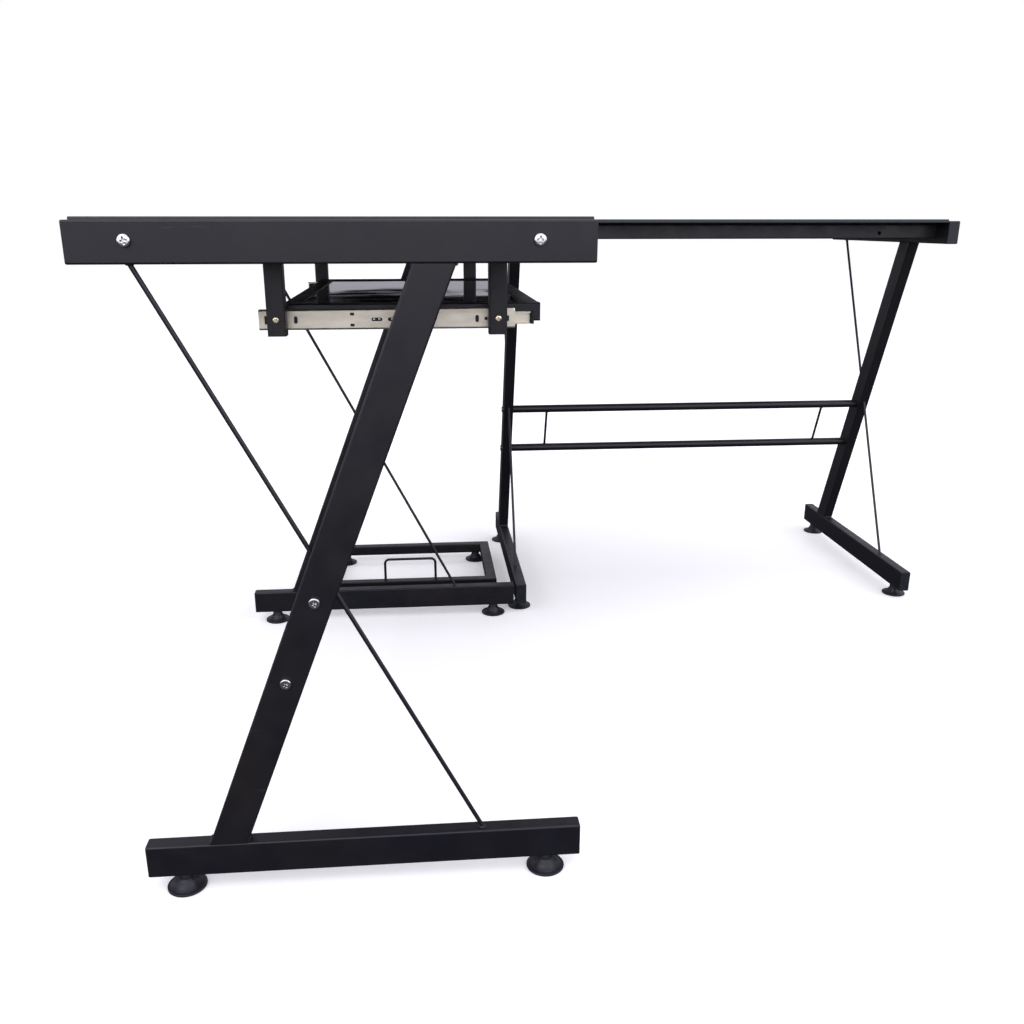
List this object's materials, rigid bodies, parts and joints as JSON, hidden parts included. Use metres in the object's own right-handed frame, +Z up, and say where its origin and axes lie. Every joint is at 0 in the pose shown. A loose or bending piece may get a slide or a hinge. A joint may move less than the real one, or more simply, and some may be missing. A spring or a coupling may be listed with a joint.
{
  "type": "computer desk with keyboard tray",
  "caption": "L-shaped computer desk: glass tops on slanted steel end frames, with a keyboard tray on ball slides and a separate low stand for the computer.",
  "frame": {"origin": "on the floor, under the middle of the whole desk", "axes": "+Z up; +X to the right along the right wing; +Y from the free end of the left wing towards the corner"},
  "size_m": [1.3224, 1.2976, 0.741],
  "materials": {
    "black_steel": "satin",
    "smoked_glass": "polished",
    "black_glass": "polished",
    "galvanised_steel": "satin",
    "zinc_steel": "satin",
    "brass_screws": "satin",
    "black_plastic": "matte",
    "black_rubber": "matte"
  },
  "bodies": {
    "desk": {"corner_brackets": "black_steel", "corner_glass": "smoked_glass", "corner_rail_back": "black_steel", "corner_rail_left": "black_steel", "desk_glide_nuts": "zinc_steel", "frame_1_foot": "black_steel", "frame_1_leg": "black_steel", "frame_1_top_beam": "black_steel", "frame_2_foot": "black_steel", "frame_2_leg": "black_steel", "frame_2_top_beam": "black_steel", "frame_3_foot": "black_steel", "frame_3_leg": "black_steel", "frame_3_top_beam": "black_steel", "frame_4_foot": "black_steel", "frame_4_leg": "black_steel", "frame_4_top_beam": "black_steel", "frame_bolts": "zinc_steel", "glass_pads": "black_rubber", "hanger_screws": "brass_screws", "left_wing_braces": "black_steel", "left_wing_glass": "smoked_glass", "left_wing_user_rail": "black_steel", "left_wing_wall_rail": "black_steel", "rail_end_plugs": "zinc_steel", "right_wing_braces": "black_steel", "right_wing_glass": "smoked_glass", "right_wing_user_rail": "black_steel", "right_wing_wall_rail": "black_steel", "slide_outer_far": "galvanised_steel", "slide_outer_near": "galvanised_steel", "tie_rods": "black_steel", "tray_cross_tubes": "black_steel", "tray_hangers": "black_steel", "tube_end_plugs": "black_plastic"},
    "tray": {"slide_inner_near": "galvanised_steel", "slide_inner_far": "galvanised_steel", "slide_bumpers": "black_rubber", "tray_screws": "brass_screws", "tray_side_rails": "black_steel", "tray_cross_rails": "black_steel", "tray_glass_ledges": "black_steel", "tray_glass": "black_glass"},
    "slide_cages": {"slide_ball_cages": "galvanised_steel"},
    "cpu_stand": {"stand_cross_tubes": "black_steel", "stand_side_tubes": "black_steel", "stand_hoop": "black_steel", "stand_glide_nuts": "zinc_steel"},
    "desk_glide_1": {"desk_glide_1": "black_plastic"},
    "desk_glide_2": {"desk_glide_2": "black_plastic"},
    "desk_glide_3": {"desk_glide_3": "black_plastic"},
    "desk_glide_4": {"desk_glide_4": "black_plastic"},
    "desk_glide_5": {"desk_glide_5": "black_plastic"},
    "desk_glide_6": {"desk_glide_6": "black_plastic"},
    "desk_glide_7": {"desk_glide_7": "black_plastic"},
    "desk_glide_8": {"desk_glide_8": "black_plastic"},
    "stand_glide_1": {"stand_glide_1": "black_plastic"},
    "stand_glide_2": {"stand_glide_2": "black_plastic"},
    "stand_glide_3": {"stand_glide_3": "black_plastic"},
    "stand_glide_4": {"stand_glide_4": "black_plastic"}
  },
  "joints": [
    {"name": "tray_slide", "type": "slide", "parent": "desk", "child": "tray", "axis": [1, 0, 0], "range_m": [-0.024, 0.185]},
    {"name": "cage_slide", "type": "slide", "parent": "desk", "child": "slide_cages", "axis": [1, 0, 0], "range_m": [-0.012, 0.0925]},
    {"name": "stand_slide", "type": "slide", "parent": "desk", "child": "cpu_stand", "axis": [0, 1, 0], "range_m": [-0.03, 0.15]},
    {"name": "desk_glide_1_screw", "type": "slide", "parent": "desk", "child": "desk_glide_1", "axis": [0, 0, -1], "range_m": [0, 0.01]},
    {"name": "desk_glide_2_screw", "type": "slide", "parent": "desk", "child": "desk_glide_2", "axis": [0, 0, -1], "range_m": [0, 0.01]},
    {"name": "desk_glide_3_screw", "type": "slide", "parent": "desk", "child": "desk_glide_3", "axis": [0, 0, -1], "range_m": [0, 0.01]},
    {"name": "desk_glide_4_screw", "type": "slide", "parent": "desk", "child": "desk_glide_4", "axis": [0, 0, -1], "range_m": [0, 0.01]},
    {"name": "desk_glide_5_screw", "type": "slide", "parent": "desk", "child": "desk_glide_5", "axis": [0, 0, -1], "range_m": [0, 0.01]},
    {"name": "desk_glide_6_screw", "type": "slide", "parent": "desk", "child": "desk_glide_6", "axis": [0, 0, -1], "range_m": [0, 0.01]},
    {"name": "desk_glide_7_screw", "type": "slide", "parent": "desk", "child": "desk_glide_7", "axis": [0, 0, -1], "range_m": [0, 0.01]},
    {"name": "desk_glide_8_screw", "type": "slide", "parent": "desk", "child": "desk_glide_8", "axis": [0, 0, -1], "range_m": [0, 0.01]},
    {"name": "stand_glide_1_screw", "type": "slide", "parent": "cpu_stand", "child": "stand_glide_1", "axis": [0, 0, -1], "range_m": [0, 0.008]},
    {"name": "stand_glide_2_screw", "type": "slide", "parent": "cpu_stand", "child": "stand_glide_2", "axis": [0, 0, -1], "range_m": [0, 0.008]},
    {"name": "stand_glide_3_screw", "type": "slide", "parent": "cpu_stand", "child": "stand_glide_3", "axis": [0, 0, -1], "range_m": [0, 0.008]},
    {"name": "stand_glide_4_screw", "type": "slide", "parent": "cpu_stand", "child": "stand_glide_4", "axis": [0, 0, -1], "range_m": [0, 0.008]}
  ],
  "couplings": [
    {"joint": "cage_slide", "follows": "tray_slide", "ratio": 0.5}
  ]
}
